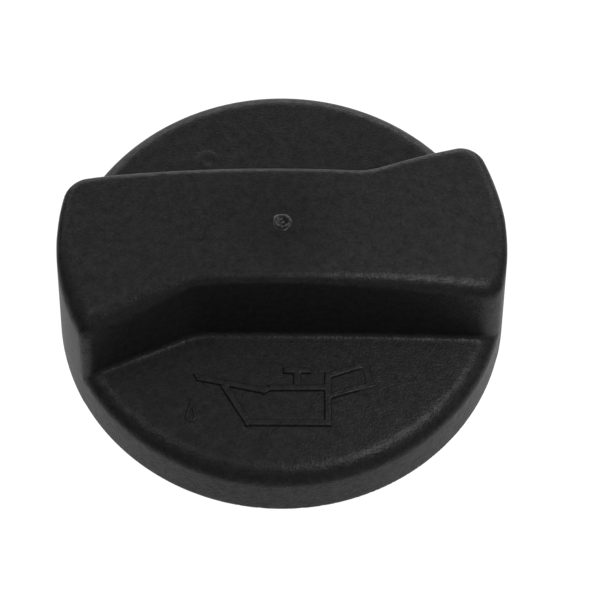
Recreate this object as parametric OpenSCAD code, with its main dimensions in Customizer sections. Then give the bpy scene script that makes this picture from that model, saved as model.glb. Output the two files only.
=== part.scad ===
// Oil filler cap with a moulded grip, a bayonet plug and a flat sealing ring.
// Millimetres, +Z up. The origin is on the cap's axis, in the plane where the
// sealing ring meets the top of the filler neck.

/* [Rim and top] */
// Outer diameter at the rim's lower edge
cap_d = 65; // [62:0.5:70]
// How far the rim reaches below the sealing plane
rim_drop = 2; // [1:0.5:4]
// Height of the top's centre above the sealing plane
top_z = 8.35; // [8:0.05:9.5]
// Radius of the shallow dome of the top
dome_r = 450; // [250:1:600]
// Rounding between the rim's side and the top
edge_r = 2.7; // [2:0.1:3.5]
// Draft of the rim's side wall, in degrees
rim_draft = 1.6; // [0.5:0.1:2.5]
// Inner radius of the rim
rim_in_r = 30; // [29.5:0.1:30.2]
// Height of the flat underside of the top
under_z = 5.3; // [5:0.1:5.6]

/* [Grip] */
// Half width of the grip's straight part at its foot
grip_w = 9.8; // [9:0.1:11]
// Height of the grip's middle above the sealing plane
grip_z = 23.3; // [19:0.1:26]
// Radius of the grip's crown, seen from the front
crown_r = 130; // [100:1:200]
// Distance of each kink from the axis
kink_x = 12; // [9:0.5:14]
// Angle of the flared edges, in degrees
flare = 22.5; // [12:0.5:24]
// Draft of the grip's long walls, in degrees
grip_draft = 2; // [1:0.1:3]
// Corner radius of the grip in plan, on the straight side
corner_r = 2.7; // [2:0.1:5]
// Corner radius of the grip in plan, at the front's flared end
front_corner_r = 1.8; // [1.4:0.1:4]
// Corner radius of the grip in plan, at the back's flared end
back_corner_r = 3.1; // [1.4:0.1:4]
// Rounding of the grip's top edge
grip_r = 1.4; // [1:0.1:2]
// Rounding of the top edge at the middle of each end
end_grip_r = 1.7; // [1:0.1:2.5]
// Rounding of the top edge on the front's flared stretch
flare_grip_r = 2.9; // [1:0.1:3.2]
// Rounding of the top edge on the front's straight stretch, near the end
right_grip_r = 2; // [1:0.1:2.5]
// Rounding of the top edge on the back's flared stretch
back_grip_r = 2.1; // [1:0.1:2.5]
// Wall thickness of the grip
wall = 2.4; // [2:0.1:2.8]

/* [Raised symbol] */
// Width of the symbol's strokes
stroke = 0.95; // [0.7:0.05:1.2]
// Height of the strokes above the top
relief = 0.45; // [0.2:0.05:0.6]
// Height of the drop's thin outline above the top
drop_relief = 0.2; // [0.1:0.05:0.4]

/* [Plug] */
// Radius of the land that centres the cap in the neck
land_r = 18; // [18:0.1:18.4]
// Length of that land below the sealing plane
land_h = 7; // [6:0.5:8]
// Depth of the plug's lower end below the sealing plane
plug_depth = 15; // [14:0.5:18]
// Outer radius of the narrow barrel below the land
barrel_r = 15.4; // [15:0.1:15.8]
// Inner radius of the plug
plug_in_r = 13; // [12:0.1:13.4]
// Radius over the two locking lugs, within the land
lug_r = 17.9; // [17.2:0.1:18]
// Width of each locking lug, in degrees
lug_arc = 50; // [30:1:60]

/* [Sealing ring] */
// Outer radius of the sealing ring
seal_r = 24.8; // [24:0.1:25]
// Thickness of the sealing ring
seal_h = 3; // [3:0.1:3]

/* [Hidden] */
cap_r = cap_d / 2;
rim_z = -rim_drop;
black = [0.13, 0.13, 0.135];
rubber = [0.06, 0.06, 0.065];
// where the grip's wall starts, inside the top's thickness
foot_z = 6;
// height at which grip_w is measured
ref_z = 7.6;
// the end walls stand a hair inside the rim's side wall
grip_end_r = cap_r - 0.32;
end_draft = 1.5;

// ---- section of the rim and top ------------------------------------------

function side_r(z) = cap_r - (z - rim_z) * tan(rim_draft);
dome_c = top_z - dome_r;
// centre of the edge rounding, tangent to the side wall and to the dome
function edge_cz(x) = dome_c + sqrt(pow(dome_r - edge_r, 2) - x * x);
function edge_cx(z) = side_r(z) - edge_r / cos(rim_draft);
ecx = edge_cx(edge_cz(edge_cx(edge_cz(cap_r - edge_r))));
ecz = edge_cz(ecx);

// the rounding as short straight steps, the last one run on through the dome
edge_n = 8;
edge_a = 90 - atan2(ecx, ecz - dome_c);
edge_pts = [for (i = [0 : edge_n])
    let (a = rim_draft + (edge_a - rim_draft) * i / edge_n)
    [ecx + edge_r * cos(a), ecz + edge_r * sin(a)]];
edge_end = edge_pts[edge_n] + 1.5 * (edge_pts[edge_n] - edge_pts[edge_n - 1]);

module dome_section() {
    intersection() {
        polygon(concat([[0, rim_z], [side_r(rim_z), rim_z]], edge_pts,
                       [edge_end, [edge_end.x - 2, 14], [0, 14]]));
        translate([0, dome_c]) circle(r = dome_r, $fn = 720);
    }
}

// ---- plan of the grip -----------------------------------------------------
// The front edge is straight on the right and flares out to the left from
// its kink. The back edge is the same, turned half a turn about the axis.
// d is the inset of the whole outline, and re the radius of the end arcs.

fn = [sin(flare), -cos(flare)];
fu = [-cos(flare), -sin(flare)];
kink_r = 3;

// centre of the corner between the flared edge and the left end arc of radius R
function cl(R, w, d, rc) =
    let (q = [-kink_x, -w] - (d + rc) * fn, b = q * fu)
    q + fu * (-b + sqrt(b * b - q * q + pow(R - rc, 2)));
// centre of the corner between the straight edge and the right end arc
function cr(R, w, d, rc) = [sqrt(pow(R - rc, 2) - pow(w - d - rc, 2)), -(w - d - rc)];
// centre of the hollow rounding at the kink
function ck(w) = [-kink_x, -w] + kink_r * ([0, -1] + fn) / (1 - fn.y);

function front_y(x, re, w, d, rc) =
    let (R = re - d, ra = max(rc - d, 0.4), rb = max(corner_r - d, 0.4),
         c = cl(R, w, d, ra), e = cr(R, w, d, rb), k = ck(w),
         xa = c.x * R / (R - ra), xb = c.x + ra * fn.x,
         xc = k.x - (kink_r + d) * fn.x, xd = k.x,
         xe = e.x, xf = e.x * R / (R - rb))
    abs(x) >= R ? 0
    : x < xa ? -sqrt(R * R - x * x)
    : x < xb ? c.y - sqrt(max(0, ra * ra - pow(x - c.x, 2)))
    : x < xc ? -w - (-kink_x - x) * tan(flare) + d / cos(flare)
    : x < xd ? k.y + sqrt(max(0, pow(kink_r + d, 2) - pow(x - k.x, 2)))
    : x < xe ? -w + d
    : x < xf ? e.y - sqrt(max(0, rb * rb - pow(x - e.x, 2)))
    : -sqrt(R * R - x * x);

function crown(x, z) = z - crown_r + sqrt(crown_r * crown_r - x * x);

// Rounding of the top edge at angle t along one half, from the end on its
// straight side to the end on its flared side. The front is half 0 and has
// the larger roundings.
function edge_round(t, half) =
    let (a = half == 0 ? right_grip_r : grip_r, b = half == 0 ? flare_grip_r : back_grip_r)
    lookup(t, [[0, end_grip_r], [14, a], [25, a], [50, grip_r], [108, grip_r],
               [134, b], [150, b], [163, end_grip_r], [180, end_grip_r]]);

// One ring of the grip's skin: lev is [draft height, edge angle], n stations a side.
// The top edge has radius r0, or the varied rounding where r0 is 0.
function ring(lev, n, inset, ztop, r0) =
    let (phi = lev[1], w0 = grip_w, re0 = grip_end_r)
    [for (side = [0, 1]) for (i = [0 : n - 1])
        let (t = 180 * i / n, s = side == 0 ? 1 : -1,
             rt = r0 > 0 ? r0 : edge_round(t, side),
             d = inset + (phi < 0 ? 0 : rt * (1 - cos(phi))),
             zz = phi < 0 ? lev[0] : crown(0, ztop) - rt + rt * sin(phi),
             w = w0 - (zz - ref_z) * tan(grip_draft),
             re = re0 - (zz - ref_z) * tan(end_draft),
             x = (re - d) * cos(t),
             y = front_y(x, re, w, d, side == 0 ? front_corner_r : back_corner_r),
             z = phi < 0 ? lev[0] : crown(x, ztop) - rt + rt * sin(phi))
        [s * x, s * y, z]];

// Closed skin from zfoot to the crowned top. Every ring has 2 n points.
module grip_skin(n, inset, zfoot, ztop, r0, steps) {
    levels = concat([[zfoot, -1]], [for (i = [0 : steps]) [0, 90 * i / steps]]);
    m = 2 * n;
    r = len(levels);
    pts = [for (l = levels) each ring(l, n, inset, ztop, r0)];
    sides = [for (j = [0 : r - 2]) for (i = [0 : m - 1])
        let (a = j * m + i, b = j * m + (i + 1) % m)
        each [[a, a + m, b], [b, a + m, b + m]]];
    // strips across, from the front station i to the back station at the same x
    top = (r - 1) * m;
    cap = [for (i = [0 : n - 1])
        let (f0 = i, f1 = i + 1,
             b0 = (m - i) % m, b1 = m - i - 1)
        each i == 0 ? [[top, top + b1, top + f1]]
            : i == n - 1 ? [[top + f0, top + b0, top + n]]
            : [[top + f0, top + b0, top + b1], [top + f0, top + b1, top + f1]]];
    base = [for (i = [0 : n - 1])
        let (f0 = i, f1 = i + 1, b0 = (m - i) % m, b1 = m - i - 1)
        each i == 0 ? [[0, f1, b1]]
            : i == n - 1 ? [[f0, n, b0]]
            : [[f0, b1, b0], [f0, f1, b1]]];
    faces = [for (f = concat(sides, cap, base)) [f[2], f[1], f[0]]];
    polyhedron(points = pts, faces = faces, convexity = 6);
}

// ---- raised oil-can symbol -------------------------------------------------

// one stroke with square ends that overlap at the joints
module bar(a, b, e0 = 0, e1 = 0) {
    v = b - a;
    l = norm(v);
    translate(a) rotate(atan2(v.y, v.x))
        translate([-e0, -stroke / 2]) square([l + e0 + e1, stroke]);
}

module symbol() {
    h = stroke / 2;
    // the can: base, right side, top, spout and slanted left side
    base_l = [-4.6, -23.75];
    base_r = [6.6, -23.75];
    top_r = [6.6, -18.25];
    dip = [-1.8, -18.35];
    notch = [-2.4, -18.8];
    tip = [-12.2, -16.65];
    left = [-8.2, -17.8];
    bar(base_l, base_r, h, h);
    bar(base_r, [6.6, -16.4], 0, h);
    bar(dip, top_r, 0, h);
    bar(notch, dip, h, 0);
    // the spout, with its end cut on the slant
    u = (notch - tip) / norm(notch - tip);
    n = h * [-u.y, u.x];
    polygon([tip + n - 0.38 * u, tip - n + 0.35 * u,
        notch - n + 0.4 * h * u, notch + n + 0.4 * h * u]);
    bar(left, base_l, 0, h);
    // knob on the lid
    bar([0.3, -15.6], [4.2, -15.6]);
    bar([2.25, -17.9], [2.25, -15.6]);
    // handle
    bar([6.6, -16.4], [11.9, -14.5], 0, h);
    bar([11.9, -14.5], [12.5, -17.5], h, h);
    bar([12.8, -17.6], [6.6, -19.6], h, 0);
}

// filled drop of radius r with its tip at height l above its centre
module tear(r, l) {
    g = asin(r / l);
    translate([-12.65, -22.76])
        polygon(concat([[0, l]], [for (i = [0 : 12])
            let (a = g - (180 + 2 * g) * i / 12) r * [cos(a), sin(a)]]));
}

// children's outline, raised above the dome of the top by rise
module on_dome(rise) {
    intersection() {
        translate([0, 0, top_z - 2.2]) linear_extrude(4) children();
        rotate_extrude($fn = 180) intersection() {
            square([28, top_z + 2]);
            translate([0, dome_c]) circle(r = dome_r + rise, $fn = 360);
        }
    }
}

// ---- the three pieces -------------------------------------------------------

module cap_shell() {
    color(black)
    difference() {
        union() {
            rotate_extrude($fn = 180) dome_section();
            grip_skin(48, 0, foot_z, grip_z, 0, 4);
            // oil can, and a thin outline of a falling drop beside its spout
            on_dome(relief) symbol();
            on_dome(drop_relief) difference() {
                tear(0.8, 2.6);
                tear(0.4, 1.45);
            }
        }
        // hollow under the top
        translate([0, 0, rim_z - 1])
            cylinder(h = under_z - rim_z + 1, r1 = rim_in_r + 0.1, r2 = rim_in_r - 0.1, $fn = 180);
        // hollow grip, open below
        grip_skin(30, wall, under_z - 0.5, grip_z - 2.5, 0.9, 2);
    }
    color(black) {
        // ring that locates the plug's flange, cut where the grip is hollow
        difference() {
            translate([0, 0, 3.6]) cylinder(h = under_z - 3.6 + 0.1, r = 27.1, $fn = 180);
            translate([0, 0, 3]) cylinder(h = under_z, r = 25.6, $fn = 180);
            grip_skin(30, wall, 2.5, grip_z - 2.5, 0.9, 2);
        }
        // short ribs between that ring and the rim
        for (a = [55, 75, 105, 125, 235, 255, 285, 305])
            rotate(a) translate([26.9, -0.7, 3.9]) cube([3.3, 1.4, under_z - 3.9 + 0.1]);
        // cross ribs inside the grip
        for (s = [-1, 1]) rotate(s > 0 ? 0 : 180)
            translate([16.3, -9, 11]) cube([1.4, 19.5, 9.5]);
    }
}

module bayonet_plug() {
    color(black) {
        difference() {
            rotate_extrude($fn = 180) polygon([
                [0, -plug_depth], [barrel_r - 0.8, -plug_depth], [barrel_r, -plug_depth + 0.8],
                [barrel_r, -land_h - 0.5], [land_r - 0.5, -land_h - 0.5], [land_r, -land_h], [land_r, 0],
                [17.6, 0], [17.6, seal_h], [25.3, seal_h], [25.3, under_z], [0, under_z]
            ]);
            // blind hollow, open below, with a light draft
            translate([0, 0, -plug_depth - 1])
                cylinder(h = plug_depth + 1 + 2.8, r1 = plug_in_r + 0.2, r2 = plug_in_r - 0.2, $fn = 180);
        }
        // two locking lugs, each with a ramp on its upper face
        for (a = [90, 270]) rotate(a) lug();
        // crossed ribs under the closed top
        for (a = [0, 90]) rotate(a)
            translate([-plug_in_r - 0.5, -0.8, -1.4]) cube([2 * plug_in_r + 1, 1.6, 4.4]);
        // two keys that reach into the hollow grip and carry the torque
        for (s = [-1, 1])
            translate([-9, s > 0 ? 5.4 : -6.9, under_z - 0.5]) cube([18, 1.5, 5.5]);
    }
}

module lug() {
    z0 = -plug_depth + 1.6;
    z1 = -plug_depth + 6;
    difference() {
        rotate(-lug_arc / 2) rotate_extrude(angle = lug_arc, $fn = 180)
            polygon([[barrel_r - 0.6, z0], [lug_r - 0.6, z0], [lug_r, z0 + 0.6],
                     [lug_r, z1 - 0.4], [lug_r - 0.4, z1], [barrel_r - 0.6, z1]]);
        // lead-in ramp on the upper face, at the leading side
        translate([10, 1.5, z1]) rotate([-14, 0, 0]) cube([12, 12, 6]);
    }
}

module sealing_ring() {
    color(rubber)
    rotate_extrude($fn = 180) polygon([
        [18.35, 0], [seal_r - 0.6, 0], [seal_r, 0.6], [seal_r, seal_h - 0.6],
        [seal_r - 0.6, seal_h], [18.35, seal_h], [17.75, seal_h - 0.6], [17.75, 0.6]
    ]);
}

cap_shell();
bayonet_plug();
sealing_ring();
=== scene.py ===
import math
import numpy as np
import bpy
from mathutils import Matrix, Vector


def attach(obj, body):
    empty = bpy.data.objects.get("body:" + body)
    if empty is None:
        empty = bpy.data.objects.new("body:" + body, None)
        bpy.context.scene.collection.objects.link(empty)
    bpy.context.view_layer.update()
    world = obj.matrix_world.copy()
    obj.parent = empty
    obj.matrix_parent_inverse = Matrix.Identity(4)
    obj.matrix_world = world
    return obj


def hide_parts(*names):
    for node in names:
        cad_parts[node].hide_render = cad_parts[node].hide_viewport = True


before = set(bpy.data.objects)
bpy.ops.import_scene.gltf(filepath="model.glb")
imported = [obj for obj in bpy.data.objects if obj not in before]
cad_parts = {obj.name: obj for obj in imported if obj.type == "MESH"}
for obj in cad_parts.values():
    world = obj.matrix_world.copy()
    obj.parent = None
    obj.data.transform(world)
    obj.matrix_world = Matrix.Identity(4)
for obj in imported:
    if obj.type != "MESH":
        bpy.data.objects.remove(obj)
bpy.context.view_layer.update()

MM = 0.001

# ---------------------------------------------------------------- dimensions
# millimetres, in the CAD frame: z = 0 is the sealing plane
RIM_Z = -2.0
CAP_R = 32.5
TOP_Z = 8.35
DOME_R = 560.0
EDGE_R = 2.6
UNDER_Z = 5.3
GRIP_W = 9.8
GRIP_Z = 23.3
CROWN_R = 130.0
KINK_X = 12.0
FLARE = math.radians(22.8)
BACK_FLARE = math.radians(22.2)
REF_Z = 7.6
WALL = 2.4


# ---------------------------------------------------------------- distance fields
def both(a, b, r=0.0):
    """inside both, with the outer corner rounded by r"""
    if np.isscalar(r) and r == 0.0:
        return np.maximum(a, b)
    u, v = np.maximum(a + r, 0), np.maximum(b + r, 0)
    return np.minimum(-r, np.maximum(a, b)) + np.sqrt(u * u + v * v)


def either(a, b, r=0.0):
    """inside either, with the inner corner filled by r"""
    if np.isscalar(r) and r == 0.0:
        return np.minimum(a, b)
    u, v = np.maximum(r - a, 0), np.maximum(r - b, 0)
    return np.maximum(r, np.minimum(a, b)) - np.sqrt(u * u + v * v)


def smin(a, b, k):
    h = np.maximum(k - np.abs(a - b), 0) / k
    return np.minimum(a, b) - h * h * k / 4


def dome(x, y, z):
    return np.sqrt(x * x + y * y + (z - TOP_Z + DOME_R) ** 2) - DOME_R


def dome_z(x, y):
    return TOP_Z - DOME_R + np.sqrt(DOME_R ** 2 - x * x - y * y)


def crown_z(x):
    return GRIP_Z - CROWN_R + np.sqrt(np.maximum(CROWN_R ** 2 - x * x, 1.0))


def grip_sides(x, y, z, k=0.8):
    """distances to the long walls and to the end walls"""
    tz = (z - REF_Z) * math.tan(math.radians(2.0))

    def edge(x, y, flare):
        straight = -(GRIP_W - tz) - y
        flared = (x + KINK_X) * math.sin(flare) - (y + GRIP_W) * math.cos(flare) + tz
        return smin(straight, flared, k)

    front, back = edge(x, y, FLARE), edge(-x, -y, BACK_FLARE)
    end = np.sqrt(x * x + y * y) - (CAP_R - 0.275 - (z - REF_Z) * math.tan(math.radians(1.9)))
    return front, back, end


def ramp(t):
    t = np.clip(t, 0, 1)
    return t * t * (3 - 2 * t)


def grip(x, y, z, inset=0.0, drop=0.0, rt=1.5, straight_rc=3.0, front_rc=1.4, back_rc=3.1):
    front, back, end = grip_sides(x, y, z)
    front, back, end = front + inset, back + inset, end + inset
    rf = np.where(x < 0, front_rc, straight_rc)
    rb = np.where(x > 0, back_rc, straight_rc)
    plan = np.maximum(both(front, end, rf), both(back, end, rb))
    slope = 1 / np.sqrt(1 + (x / CROWN_R) ** 2)
    top = (z - crown_z(x) + drop) * slope
    return both(plan, top, rt)


def shell(x, y, z):
    r = np.sqrt(x * x + y * y)
    side = r - (CAP_R - (z - RIM_Z) * math.tan(math.radians(1.6)))
    disc = both(side, dome(x, y, z), EDGE_R)
    front, back, end = grip_sides(x, y, z)
    # softer top edge at the ends, and more so on the front's flared stretch
    at_end = 1 - ramp(-end / 6.0)
    flared = ramp((-x - KINK_X + 3) / 13.0) * ramp(-y / 11.0)
    back_flared = ramp((x - 18.0) / 12.0) * ramp(y / 10.0)
    front_right = ramp(x / 24.0) * ramp(-y / 7.0)
    rt = 1.3 + np.maximum(np.maximum(0.35 * at_end, 1.75 * flared),
                          np.maximum(0.9 * back_flared, 0.75 * front_right))
    g = grip(x, y, z, rt=rt, straight_rc=2.5)
    # pit of the gate mark
    pit = both(np.hypot(x, y + 0.1) - 0.75, GRIP_Z - 0.6 - z, 0.2)
    g = np.maximum(g, -pit)
    # small hollow rounding at the grip's foot, fading out at the ends
    rf = 0.7 * np.clip((-end - 0.2) / 2.0, 0.0001, 1)
    out = either(g, disc, rf)
    out = both(out, RIM_Z - z, 0.25)
    # hollow under the top
    hr = r - (30.1 - (z - RIM_Z) * 0.027)
    hollow = both(hr, z - UNDER_Z, 0.8)
    out = np.maximum(out, -hollow)
    cavity = grip(x, y, z, inset=WALL, drop=2.5, rt=0.9, straight_rc=1.5, front_rc=1.0, back_rc=1.0)
    cavity = np.maximum(cavity, 4.4 - z)
    out = np.maximum(out, -cavity)
    # ring that locates the plug's flange
    ring = np.maximum(np.abs(r - 26.35) - 0.75, 3.6 - z)
    ring = np.maximum(np.maximum(ring, z - 6.0), -cavity)
    return out, ring, cavity


def shell_field(x, y, z):
    out, ring, cavity = shell(x, y, z)
    d = either(out, ring, 0.25)
    for a in (55, 75, 105, 125, 235, 255, 285, 305):
        ca, sa = math.cos(math.radians(a)), math.sin(math.radians(a))
        u, v = x * ca + y * sa, -x * sa + y * ca
        rib = np.maximum(np.maximum(np.abs(u - 28.5) - 1.9, np.abs(v) - 0.7),
                         np.maximum(3.9 - z, z - 6.0))
        d = either(d, rib, 0.25)
    for s in (-1, 1):
        rib = np.maximum(np.maximum(np.abs(x - 17 * s) - 0.7, np.abs(y - 0.75 * s) - 9.75),
                         np.maximum(11 - z, z - 20.5))
        d = np.minimum(d, rib)
    return d


# ---------------------------------------------------------------- field to mesh
def net(field, xs, ys, zs, relax=2):
    """quads on the zero level of field, on a grid of lines xs, ys, zs"""
    X, Y, Z = np.meshgrid(xs, ys, zs, indexing="ij")
    F = field(X, Y, Z)
    del X, Y, Z
    s = F < 0
    nx, ny, nz = F.shape
    cells = np.zeros((nx - 1, ny - 1, nz - 1), dtype=np.int8)
    for i in (0, 1):
        for j in (0, 1):
            for k in (0, 1):
                cells += s[i:nx - 1 + i, j:ny - 1 + j, k:nz - 1 + k]
    live = (cells > 0) & (cells < 8)
    idx = -np.ones(live.shape, dtype=np.int64)
    ci = np.argwhere(live)
    idx[live] = np.arange(len(ci))
    # mean of the edge crossings in each live cell
    acc = np.zeros((len(ci), 3))
    cnt = np.zeros(len(ci))
    axes = (xs, ys, zs)
    I = ci
    for ax in range(3):
        o1, o2 = [a for a in range(3) if a != ax]
        for a in (0, 1):
            for b in (0, 1):
                p = I.copy()
                p[:, o1] += a
                p[:, o2] += b
                q = p.copy()
                q[:, ax] += 1
                f0 = F[p[:, 0], p[:, 1], p[:, 2]]
                f1 = F[q[:, 0], q[:, 1], q[:, 2]]
                hit = (f0 < 0) != (f1 < 0)
                t = np.where(hit, f0 / np.where(hit, f0 - f1, 1), 0)
                pos = np.stack([axes[m][p[:, m]] for m in range(3)], axis=1)
                pos[:, ax] += t * (axes[ax][q[:, ax]] - axes[ax][p[:, ax]])
                acc[hit] += pos[hit]
                cnt[hit] += 1
    V = acc / cnt[:, None]
    quads = []
    for ax in range(3):
        o1, o2 = [(1, 2), (2, 0), (0, 1)][ax]
        lo = [slice(None)] * 3
        hi = [slice(None)] * 3
        lo[ax] = slice(0, -1)
        hi[ax] = slice(1, None)
        a, b = s[tuple(lo)], s[tuple(hi)]
        e = np.argwhere(a != b)
        ok = (e[:, o1] > 0) & (e[:, o2] > 0) & (e[:, o1] < F.shape[o1] - 1) & (e[:, o2] < F.shape[o2] - 1)
        e = e[ok]
        inside = a[e[:, 0], e[:, 1], e[:, 2]]
        ring = []
        for da, db in ((-1, -1), (0, -1), (0, 0), (-1, 0)):
            c = e.copy()
            c[:, o1] += da
            c[:, o2] += db
            ring.append(idx[c[:, 0], c[:, 1], c[:, 2]])
        q = np.stack(ring, axis=1)
        q[~inside] = q[~inside][:, ::-1]
        quads.append(q)
    Q = np.concatenate(quads)

    def grad(P, e=0.02):
        g = np.zeros_like(P)
        for m in range(3):
            d = np.zeros(3)
            d[m] = e
            A, B = P + d, P - d
            g[:, m] = (field(A[:, 0], A[:, 1], A[:, 2]) - field(B[:, 0], B[:, 1], B[:, 2])) / (2 * e)
        return g

    def snap(P, times):
        for _ in range(times):
            f = field(P[:, 0], P[:, 1], P[:, 2])
            g = grad(P)
            n2 = np.maximum((g * g).sum(1), 0.2)
            step = g * (f / n2)[:, None]
            L = np.sqrt((step * step).sum(1))
            lim = 0.25
            step *= np.minimum(1, lim / np.maximum(L, 1e-9))[:, None]
            P = P - step
        return P

    V = snap(V, 3)
    edges = np.concatenate([Q[:, [0, 1]], Q[:, [1, 2]], Q[:, [2, 3]], Q[:, [3, 0]]])
    for _ in range(relax):
        S = np.zeros_like(V)
        n = np.zeros(len(V))
        for c in range(3):
            S[:, c] = np.bincount(edges[:, 0], V[edges[:, 1], c], len(V)) + np.bincount(edges[:, 1], V[edges[:, 0], c], len(V))
        n = np.bincount(edges[:, 0], minlength=len(V)) + np.bincount(edges[:, 1], minlength=len(V))
        M = S / n[:, None] - V
        g = grad(V)
        L = np.sqrt((g * g).sum(1))
        g /= np.maximum(L, 1e-9)[:, None]
        M -= g * (M * g).sum(1)[:, None]
        V = snap(V + 0.5 * M, 1)
    return V, Q


def to_object(name, V, Q, smooth=True):
    me = bpy.data.meshes.new(name)
    V = np.asarray(V) * MM
    me.vertices.add(len(V))
    me.vertices.foreach_set("co", V.astype(np.float32).ravel())
    k = Q.shape[1]
    me.loops.add(Q.size)
    me.loops.foreach_set("vertex_index", Q.astype(np.int32).ravel())
    me.polygons.add(len(Q))
    me.polygons.foreach_set("loop_start", (np.arange(len(Q)) * k).astype(np.int32))
    me.update(calc_edges=True)
    me.validate()
    if smooth:
        me.polygons.foreach_set("use_smooth", np.ones(len(me.polygons), dtype=bool))
    o = bpy.data.objects.new(name, me)
    bpy.context.scene.collection.objects.link(o)
    return o


def lines(*spans):
    """grid lines from spans (start, end, step), end of one is the start of the next"""
    out = []
    for a, b, h in spans:
        n = max(1, int(round((b - a) / h)))
        out.extend(a + (b - a) * i / n for i in range(n))
    out.append(spans[-1][1])
    return np.array(out)


# ---------------------------------------------------------------- shell
h = 0.41
xs = lines((-33.13, 33.17, h))
ys = lines((-33.11, 33.19, h))
zs = lines((-2.73, 10.4, 0.38), (10.4, 18.6, 0.8), (18.6, 24.0, 0.38))
V, Q = net(shell_field, xs, ys, zs)
shell_obj = to_object("cap_shell_body", V, Q)
print("shell", len(V), "points", len(Q), "quads")


# ---------------------------------------------------------------- raised symbol
STROKE = 0.95


def seg(x, y, a, b, e0=0.0, e1=0.0, w=STROKE):
    """box distance of one stroke with square ends"""
    dx, dy = b[0] - a[0], b[1] - a[1]
    L = math.hypot(dx, dy)
    ux, uy = dx / L, dy / L
    px, py = x - a[0], y - a[1]
    u, v = px * ux + py * uy, -px * uy + py * ux
    du = np.abs(u - (L + e1 - e0) / 2) - (L + e0 + e1) / 2
    dv = np.abs(v) - w / 2
    return np.minimum(np.maximum(du, dv), 0) + np.hypot(np.maximum(du, 0), np.maximum(dv, 0))


def symbol2(x, y):
    q = STROKE / 2
    base_l, base_r, top_r = (-4.6, -23.75), (6.6, -23.75), (6.6, -18.25)
    dip, notch, tip, left = (-1.8, -18.35), (-2.4, -18.8), (-12.2, -16.65), (-8.2, -17.8)
    # the spout's end is cut on the slant
    ux, uy = 0.9768, -0.2143
    along, across = (x - tip[0]) * ux + (y - tip[1]) * uy, (y - tip[1]) * ux - (x - tip[0]) * uy
    slant = (-0.015 - 0.768 * across - along) / 1.261
    s = [
        seg(x, y, base_l, base_r, q, q), seg(x, y, base_r, (6.6, -16.4), 0, q),
        seg(x, y, dip, top_r, 0, q), seg(x, y, notch, dip, q, 0),
        np.maximum(seg(x, y, tip, notch, 0.45, q * 0.4), slant), seg(x, y, left, base_l, 0, q),
        seg(x, y, (0.3, -15.6), (4.2, -15.6)), seg(x, y, (2.25, -17.9), (2.25, -15.6)),
        seg(x, y, (6.6, -16.4), (11.9, -14.5), 0, q),
        seg(x, y, (11.9, -14.5), (12.5, -17.5), q, q),
        seg(x, y, (12.8, -17.6), (6.6, -19.6), q, 0),
    ]
    d = s[0]
    for t in s[1:]:
        d = np.minimum(d, t)
    return d


def tear2(x, y):
    """thin outline of a falling drop"""
    u, v = np.abs(x + 12.65), y + 22.76
    r, l = 0.6, 2.4
    b = r / l
    a = math.sqrt(1 - b * b)
    k = -u * b + v * a
    d = np.where(k < 0, np.hypot(u, v) - r,
                 np.where(k > a * l, np.hypot(u, v - l), u * a + v * b - r))
    return np.abs(d) - 0.2


def symbol_field(x, y, z):
    above = z - dome_z(x, y)
    d = symbol2(x, y) + (above - 0.2) * 0.2
    # the handle's end is moulded fainter
    can = both(d, above - 0.45 + 0.25 * ramp((x - 10.3) / 1.6), 0.12)
    drop = both(tear2(x, y) + (above - 0.1) * 0.2, above - 0.2, 0.06)
    return np.maximum(np.minimum(can, drop), -0.25 - above)


V, Q = net(symbol_field, lines((-14.53, 14.0, 0.13)), lines((-24.7, -13.4, 0.13)),
           lines((TOP_Z - 1.3, TOP_Z + 0.5, 0.11)), relax=1)
symbol_obj = to_object("oil_symbol_relief", V, Q)
print("symbol", len(V), "points")


# ---------------------------------------------------------------- gate and pin marks
def gate_field(x, y, z):
    """low raised ring with a ragged rim, around the pit in the middle of the grip"""
    y = y + 0.1
    r, a = np.hypot(x, y), np.arctan2(y, x)
    wob = 0.06 * np.sin(3 * a + 0.7) + 0.04 * np.sin(5 * a + 2.1)
    above = z - crown_z(x)
    height = (0.3 + 0.05 * np.sin(2 * a - 1.0) - 0.05 * np.sin(a)) * np.exp(-((r - 0.98 - wob) / 0.24) ** 2)
    for at in (-1.2, -1.85, 0.5):
        height = height + 0.14 * np.exp(-((a - at) / 0.22) ** 2 - ((r - 0.95) / 0.2) ** 2)
    # torn floor, with a deeper star to one side
    u, v = x - 0.2, y - 0.12
    s, b = np.hypot(u, v), np.arctan2(v, u)
    height = height - 0.03 - 0.4 * np.exp(-(s / (0.42 + 0.12 * np.cos(4 * b + 0.5))) ** 4)
    return np.maximum(np.maximum((above - height) * 0.7, r - 1.45), -0.62 - above)


V, Q = net(gate_field, lines((-1.68, 1.68, 0.07)), lines((-1.78, 1.58, 0.07)),
           lines((GRIP_Z - 0.72, GRIP_Z + 0.48, 0.06)), relax=1)
gate_obj = to_object("gate_mark", V, Q)


def pin_field(x, y, z):
    """faint soft witness of an ejector pin, on the top behind the grip"""
    r = np.hypot(x + 11.0, y - 19.6)
    above = z - dome_z(x, y)
    height = 0.16 * np.exp(-((r - 1.1) / 0.75) ** 2) - 0.015
    return np.maximum(np.maximum((above - height) * 0.8, r - 2.6), -0.2 - above)


V, Q = net(pin_field, lines((-13.8, -8.2, 0.14)), lines((16.8, 22.4, 0.14)),
           lines((TOP_Z - 1.0, TOP_Z + 0.2, 0.07)), relax=1)
pin_obj = to_object("pin_mark", V, Q)

# ---------------------------------------------------------------- materials
def node_material(name):
    m = bpy.data.materials.new(name)
    m.use_nodes = True
    nt = m.node_tree
    bsdf = nt.nodes["Principled BSDF"]
    return m, nt, bsdf


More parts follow.
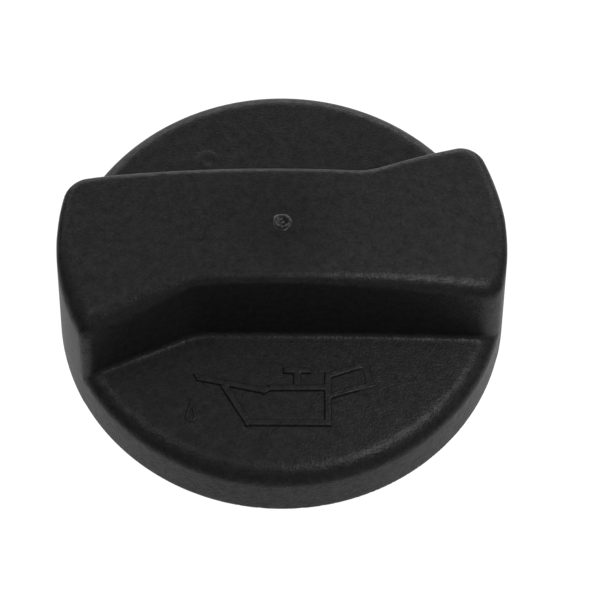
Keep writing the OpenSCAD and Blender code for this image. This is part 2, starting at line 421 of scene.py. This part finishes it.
def plastic(name, dark, light, rough, grain=0.1, grain_scale=3500.0, spec=0.5, mottle=0.0, halo=False):
    m, nt, b = node_material(name)
    N, L = nt.nodes, nt.links
    tc = N.new("ShaderNodeTexCoord")
    # slow mottling of the colour and of the sheen
    n1 = N.new("ShaderNodeTexNoise")
    n1.inputs["Scale"].default_value = 850.0
    n1.inputs["Detail"].default_value = 8.0
    n1.inputs["Roughness"].default_value = 0.8
    L.new(tc.outputs["Object"], n1.inputs["Vector"])
    b.inputs["Specular IOR Level"].default_value = spec
    if mottle:
        sheen = N.new("ShaderNodeMapRange")
        sheen.inputs["From Min"].default_value = 0.3
        sheen.inputs["From Max"].default_value = 0.7
        sheen.inputs["To Min"].default_value = spec * (1 - mottle)
        sheen.inputs["To Max"].default_value = spec * (1 + mottle)
        L.new(n1.outputs["Fac"], sheen.inputs["Value"])
        out = sheen.outputs["Result"]
        if halo:
            # the reflection is weaker in a round patch around the gate, so the top is darker there
            flat = N.new("ShaderNodeVectorMath")
            flat.operation = "MULTIPLY"
            flat.inputs[1].default_value = (1, 1, 0)
            L.new(tc.outputs["Object"], flat.inputs[0])
            dist = N.new("ShaderNodeVectorMath")
            dist.operation = "LENGTH"
            L.new(flat.outputs["Vector"], dist.inputs[0])
            dull = N.new("ShaderNodeMapRange")
            dull.interpolation_type = "SMOOTHSTEP"
            dull.inputs["From Min"].default_value = 0.0015
            dull.inputs["From Max"].default_value = 0.011
            dull.inputs["To Min"].default_value = 0.5
            dull.inputs["To Max"].default_value = 1.0
            L.new(dist.outputs["Value"], dull.inputs["Value"])
            mul = N.new("ShaderNodeMath")
            mul.operation = "MULTIPLY"
            L.new(out, mul.inputs[0])
            L.new(dull.outputs["Result"], mul.inputs[1])
            out = mul.outputs[0]
        L.new(out, b.inputs["Specular IOR Level"])
    n2 = N.new("ShaderNodeTexNoise")
    n2.inputs["Scale"].default_value = grain_scale
    n2.inputs["Detail"].default_value = 2.0
    L.new(tc.outputs["Object"], n2.inputs["Vector"])
    mix = N.new("ShaderNodeMix")
    mix.data_type = "FLOAT"
    mix.inputs[0].default_value = 0.5
    L.new(n1.outputs["Fac"], mix.inputs[2])
    L.new(n2.outputs["Fac"], mix.inputs[3])
    ramp = N.new("ShaderNodeValToRGB")
    ramp.color_ramp.elements[0].position = 0.3
    ramp.color_ramp.elements[0].color = (*dark, 1)
    ramp.color_ramp.elements[1].position = 0.7
    ramp.color_ramp.elements[1].color = (*light, 1)
    L.new(mix.outputs[0], ramp.inputs["Fac"])
    L.new(ramp.outputs["Color"], b.inputs["Base Color"])
    b.inputs["Roughness"].default_value = rough
    if halo:
        # the upright walls have a coarser mould grain than the top
        nz = N.new("ShaderNodeSeparateXYZ")
        L.new(tc.outputs["Normal"], nz.inputs["Vector"])
        wall = N.new("ShaderNodeMapRange")
        wall.interpolation_type = "SMOOTHSTEP"
        wall.inputs["From Min"].default_value = 0.05
        wall.inputs["From Max"].default_value = 0.5
        wall.inputs["To Min"].default_value = rough + 0.07
        wall.inputs["To Max"].default_value = rough
        L.new(nz.outputs["Z"], wall.inputs["Value"])
        L.new(wall.outputs["Result"], b.inputs["Roughness"])
    b.inputs["IOR"].default_value = 1.5
    bump = N.new("ShaderNodeBump")
    bump.inputs["Strength"].default_value = grain
    bump.inputs["Distance"].default_value = 0.0001
    L.new(n2.outputs["Fac"], bump.inputs["Height"])
    L.new(bump.outputs["Normal"], b.inputs["Normal"])
    return m


shell_mat = plastic("shell_plastic_grain", (0.0058, 0.0058, 0.006), (0.0146, 0.0146, 0.015), 0.38, 0.75, 3000.0,
                    spec=0.103, mottle=0.65, halo=True)
# torn plastic of the gate is glossier; its paler colour is painted highlight for the bright gate ring
gate_torn_highlight_mat = plastic("shell_plastic_torn_highlight", (0.009, 0.009, 0.0092), (0.021, 0.021, 0.0215), 0.28, 0.5, 2400.0, spec=0.22)
plug_mat = plastic("plug_plastic_satin", (0.006, 0.006, 0.0062), (0.01, 0.01, 0.0103), 0.42, 0.2, spec=0.25)
rubber_mat = plastic("seal_rubber_matt", (0.006, 0.006, 0.006), (0.009, 0.009, 0.009), 0.65, 0.3, 2500.0, spec=0.2)

for o in (shell_obj, symbol_obj, gate_obj, pin_obj):
    o.data.materials.append(gate_torn_highlight_mat if o == gate_obj else shell_mat)
    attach(o, "root")
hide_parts("cap_shell")


def dress(node, mat):
    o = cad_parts[node]
    o = bpy.data.objects.get(o) if isinstance(o, str) else o
    for s in range(max(1, len(o.material_slots))):
        if len(o.material_slots) <= s:
            o.data.materials.append(mat)
        o.material_slots[s].material = mat


dress("bayonet_plug", plug_mat)
dress("sealing_ring", rubber_mat)

# ---------------------------------------------------------------- stage
FLOOR_Z = -0.015


def floor_material():
    """a light table: a lit sheet that fades to dark past its edges"""
    m, nt, b = node_material("light_table")
    N, L = nt.nodes, nt.links
    b.inputs["Base Color"].default_value = (0.06, 0.06, 0.06, 1)
    b.inputs["Roughness"].default_value = 0.9
    b.inputs["Specular IOR Level"].default_value = 0.0
    b.inputs["Emission Color"].default_value = (1, 1, 1, 1)
    tc = N.new("ShaderNodeTexCoord")
    sep = N.new("ShaderNodeSeparateXYZ")
    L.new(tc.outputs["Object"], sep.inputs["Vector"])

    def fade(sock, near, far, rest):
        r = N.new("ShaderNodeMapRange")
        r.interpolation_type = "SMOOTHSTEP"
        r.inputs["From Min"].default_value = near
        r.inputs["From Max"].default_value = far
        r.inputs["To Min"].default_value = 1.0
        r.inputs["To Max"].default_value = rest
        L.new(sock, r.inputs["Value"])
        return r.outputs["Result"]

    out = None
    for sock, near, far, rest in (("X", 0.049, 0.09, 0.0), ("X", -0.049, -0.09, 0.0),
                                  ("Y", -0.042, -0.058, 0.55), ("Y", 0.085, 0.2, 0.0)):
        f = fade(sep.outputs[sock], near, far, rest)
        if out is None:
            out = f
        else:
            mul = N.new("ShaderNodeMath")
            mul.operation = "MULTIPLY"
            L.new(out, mul.inputs[0])
            L.new(f, mul.inputs[1])
            out = mul.outputs[0]
    L.new(out, b.inputs["Emission Strength"])
    return m


me = bpy.data.meshes.new("floor")
S = 3.0
me.from_pydata([(-S, -S, FLOOR_Z), (S, -S, FLOOR_Z), (S, S, FLOOR_Z), (-S, S, FLOOR_Z)], [], [(0, 1, 2, 3)])
floor = bpy.data.objects.new("floor", me)
bpy.context.scene.collection.objects.link(floor)
floor.data.materials.append(floor_material())


def area(name, loc, target, size, power, size_y=None):
    d = bpy.data.lights.new(name, "AREA")
    d.energy = power
    d.shape = "RECTANGLE" if size_y else "SQUARE"
    d.size = size
    if size_y:
        d.size_y = size_y
    o = bpy.data.objects.new(name, d)
    o.location = loc
    o.rotation_euler = (Vector(target) - Vector(loc)).to_track_quat("-Z", "Y").to_euler()
    bpy.context.scene.collection.objects.link(o)
    return o


# a long softbox close above the right half, and a weak fill on the left
area("key_softbox", (0.105, -0.045, 0.215), (0.02, -0.01, 0.01), 0.16, 0.54, 0.08)
area("left_fill", (-0.16, -0.02, 0.26), (-0.01, -0.01, 0.01), 0.12, 0.22)

# white studio all round, dark towards the front
w = bpy.data.worlds.new("studio")
bpy.context.scene.world = w
w.use_nodes = True
wn, wl = w.node_tree.nodes, w.node_tree.links
bg = wn["Background"]
tc = wn.new("ShaderNodeTexCoord")
sep = wn.new("ShaderNodeSeparateXYZ")
wl.new(tc.outputs["Generated"], sep.inputs["Vector"])
mr = wn.new("ShaderNodeMapRange")
mr.interpolation_type = "SMOOTHSTEP"
mr.inputs["From Min"].default_value = -0.45
mr.inputs["From Max"].default_value = 0.05
mr.inputs["To Min"].default_value = 0.2
mr.inputs["To Max"].default_value = 0.37
wl.new(sep.outputs["Y"], mr.inputs["Value"])
# a brighter band low behind the cap
low = wn.new("ShaderNodeMapRange")
low.interpolation_type = "SMOOTHSTEP"
low.inputs["From Min"].default_value = 0.15
low.inputs["From Max"].default_value = 0.55
low.inputs["To Min"].default_value = 1.0
low.inputs["To Max"].default_value = 0.0
wl.new(sep.outputs["Z"], low.inputs["Value"])
behind = wn.new("ShaderNodeMapRange")
behind.interpolation_type = "SMOOTHSTEP"
behind.inputs["From Min"].default_value = 0.45
behind.inputs["From Max"].default_value = 0.85
behind.inputs["To Min"].default_value = 0.0
behind.inputs["To Max"].default_value = 4.6
wl.new(sep.outputs["Y"], behind.inputs["Value"])
band = wn.new("ShaderNodeMath")
band.operation = "MULTIPLY_ADD"
wl.new(low.outputs["Result"], band.inputs[0])
wl.new(behind.outputs["Result"], band.inputs[1])
wl.new(mr.outputs["Result"], band.inputs[2])
wl.new(band.outputs[0], bg.inputs["Strength"])
bg.inputs["Color"].default_value = (1, 1, 1, 1)

# ---------------------------------------------------------------- camera
E = math.radians(60.9)
F_PX, X0, Y0, D, ROLL = 2707.0, 281.7, 309.5, 0.400, math.radians(0.3)
p0 = Vector((0, 0, RIM_Z * MM))
right, up, back = Vector((1, 0, 0)), Vector((0, math.sin(E), math.cos(E))), Vector((0, -math.cos(E), math.sin(E)))
base = Matrix((right, up, back)).transposed()
yaw = math.atan2(300 - X0, F_PX)
pitch = math.atan2(Y0 - 300, F_PX)
rot = base @ Matrix.Rotation(ROLL, 3, "Z") @ Matrix.Rotation(-yaw, 3, "Y") @ Matrix.Rotation(pitch, 3, "X")
cd = bpy.data.cameras.new("camera")
cd.sensor_width = 36.0
cd.sensor_fit = "HORIZONTAL"
cd.lens = F_PX / 600 * 36.0
cd.clip_start = 0.01
cd.clip_end = 20.0
cam = bpy.data.objects.new("camera", cd)
cam.matrix_world = Matrix.Translation(p0 + back * D) @ rot.to_4x4()
bpy.context.scene.collection.objects.link(cam)
bpy.context.scene.camera = cam

bpy.context.scene.view_settings.view_transform = "Standard"
bpy.context.scene.view_settings.look = "None"
